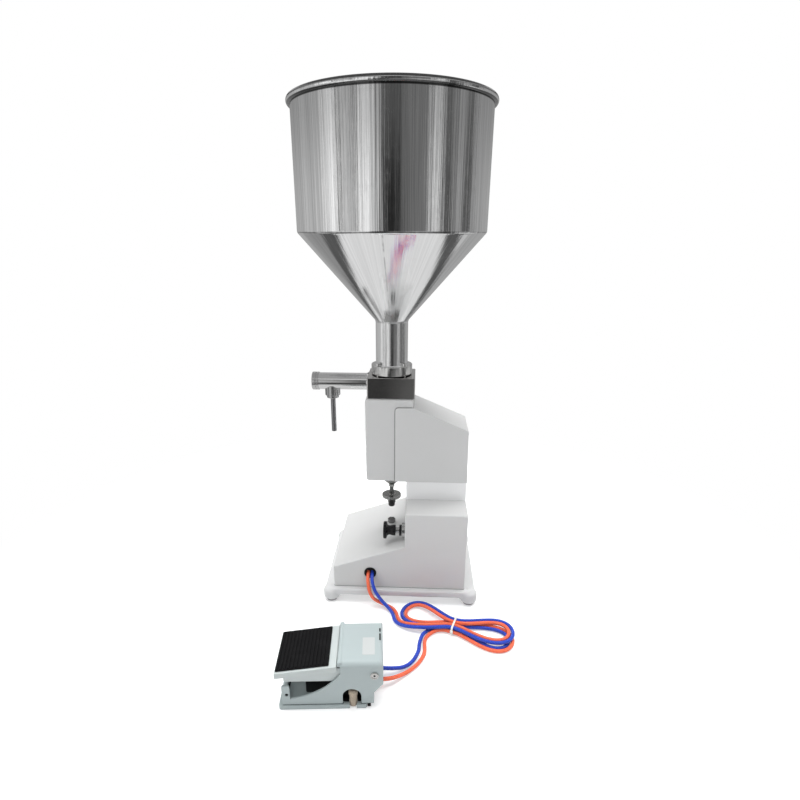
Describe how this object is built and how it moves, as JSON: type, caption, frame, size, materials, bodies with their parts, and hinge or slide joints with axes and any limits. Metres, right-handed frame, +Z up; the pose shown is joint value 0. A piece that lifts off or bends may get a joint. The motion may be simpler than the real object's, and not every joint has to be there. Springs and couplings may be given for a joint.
{
  "type": "pneumatic filling machine",
  "caption": "Bench filling machine with a polished hopper over a valve block, a spout at the side, an air cylinder in a white housing and a foot valve on two air hoses.",
  "frame": {"origin": "on the floor, under the middle of the bounding box of the machine and its foot valve, hoses left out", "axes": "+Z up, -X towards the spout, -Y towards the foot valve"},
  "size_m": [0.4723, 0.6544, 1.0319],
  "materials": {
    "white_paint": "fine textured white enamel",
    "polished_steel": "mirror polished stainless steel",
    "steel": "turned steel",
    "aluminium": "plain machined aluminium",
    "nickel_brass": "nickel plated brass",
    "black_rubber": "matte black rubber",
    "red_seal": "silicone seal",
    "black_plastic": "glossy black plastic",
    "cast_aluminium_paint": "pale green-grey paint on cast aluminium",
    "sintered_bronze": "dull sintered bronze",
    "blue_hose": "glossy blue polyurethane",
    "orange_hose": "glossy orange-red polyurethane",
    "white_nylon": "white nylon"
  },
  "bodies": {
    "machine": {"air_cylinder_barrel": "aluminium", "air_cylinder_bottom_cap": "aluminium", "air_cylinder_top_cap": "aluminium", "base_bottom_plate": "steel", "base_casting": "white_paint", "column": "white_paint", "flange_bolt_1": "steel", "flange_bolt_2": "steel", "flange_bolt_3": "steel", "flange_bolt_4": "steel", "flange_gasket": "black_rubber", "foot_pad_front_far": "black_rubber", "foot_pad_front_near": "black_rubber", "foot_pad_rear_far": "black_rubber", "foot_pad_rear_near": "black_rubber", "front_housing": "white_paint", "hank_tie": "white_nylon", "hopper_bowl": "polished_steel", "hopper_flange": "polished_steel", "hopper_neck": "polished_steel", "hose_blue_hank": "blue_hose", "hose_blue_lower": "blue_hose", "hose_blue_upper": "blue_hose", "hose_grommet": "black_rubber", "hose_orange_hank": "orange_hose", "hose_orange_lower": "orange_hose", "hose_orange_upper": "orange_hose", "inlet_spring": "steel", "nozzle_spout": "polished_steel", "nozzle_union_nut": "polished_steel", "outlet_end_cap": "polished_steel", "outlet_spring": "steel", "outlet_tube": "polished_steel", "pedal_base_plate": "cast_aluminium_paint", "pedal_fitting_blue": "nickel_brass", "pedal_fitting_orange": "nickel_brass", "pedal_housing": "cast_aluminium_paint", "pedal_pivot_pin": "steel", "pedal_return_spring": "steel", "pedal_silencer": "sintered_bronze", "pedal_valve_body": "aluminium", "product_cylinder": "steel", "rear_cover": "white_paint", "regulator_collar": "steel", "regulator_lock_ring": "black_plastic", "rod_bush": "steel", "stop_stud": "steel", "valve_block": "polished_steel"},
    "piston": {"stroke_rod": "steel", "product_piston": "steel", "product_piston_seal": "red_seal", "air_piston": "aluminium"},
    "stroke_nut": {"lock_nut": "steel"},
    "stroke_disc": {"adjusting_disc": "steel"},
    "speed_knob": {"regulator_knob": "black_plastic"},
    "inlet_valve": {"inlet_poppet": "steel"},
    "outlet_valve": {"outlet_poppet": "steel"},
    "treadle": {"pedal_treadle": "cast_aluminium_paint", "pedal_pad": "black_rubber"},
    "plunger": {"pedal_plunger": "steel"}
  },
  "joints": [
    {"name": "piston_slide", "type": "slide", "parent": "machine", "child": "piston", "axis": [0, 0, 1], "range_m": [-0.03, 0.016]},
    {"name": "nut_slide", "type": "slide", "parent": "piston", "child": "stroke_nut", "axis": [0, 0, 1], "range_m": [-0.003, 0.001]},
    {"name": "disc_spin", "type": "hinge", "parent": "stroke_nut", "child": "stroke_disc", "pos_m": [-0.00403, 0.13046, 0.213], "axis": [0, 0, 1], "range_deg": [-720, 240]},
    {"name": "speed_turn", "type": "hinge", "parent": "machine", "child": "speed_knob", "pos_m": [-0.00403, 0.04246, 0.166], "axis": [1, 0, 0], "range_deg": [-360, 360]},
    {"name": "inlet_open", "type": "slide", "parent": "machine", "child": "inlet_valve", "axis": [0, 0, -1], "range_m": [0, 0.006], "stiffness_N_per_m": 300, "springref_m": -0.006, "deforming": ["inlet_spring"]},
    {"name": "outlet_open", "type": "slide", "parent": "machine", "child": "outlet_valve", "axis": [-1, 0, 0], "range_m": [0, 0.006], "stiffness_N_per_m": 300, "springref_m": -0.006, "deforming": ["outlet_spring"]},
    {"name": "treadle_press", "type": "hinge", "parent": "machine", "child": "treadle", "pos_m": [-0.0163, -0.25392, 0.074], "axis": [0.0785, -0.9969, 0], "range_deg": [0, 5.7], "stiffness_Nm_per_rad": 4, "springref_deg": -17.19},
    {"name": "plunger_press", "type": "slide", "parent": "machine", "child": "plunger", "axis": [0, 0, -1], "range_m": [0, 0.0112], "deforming": ["pedal_return_spring"]}
  ],
  "couplings": [
    {"joint": "disc_spin", "follows": "nut_slide", "rad_per_m": 4188},
    {"joint": "plunger_press", "follows": "treadle_press", "m_per_rad": 0.1103}
  ]
}
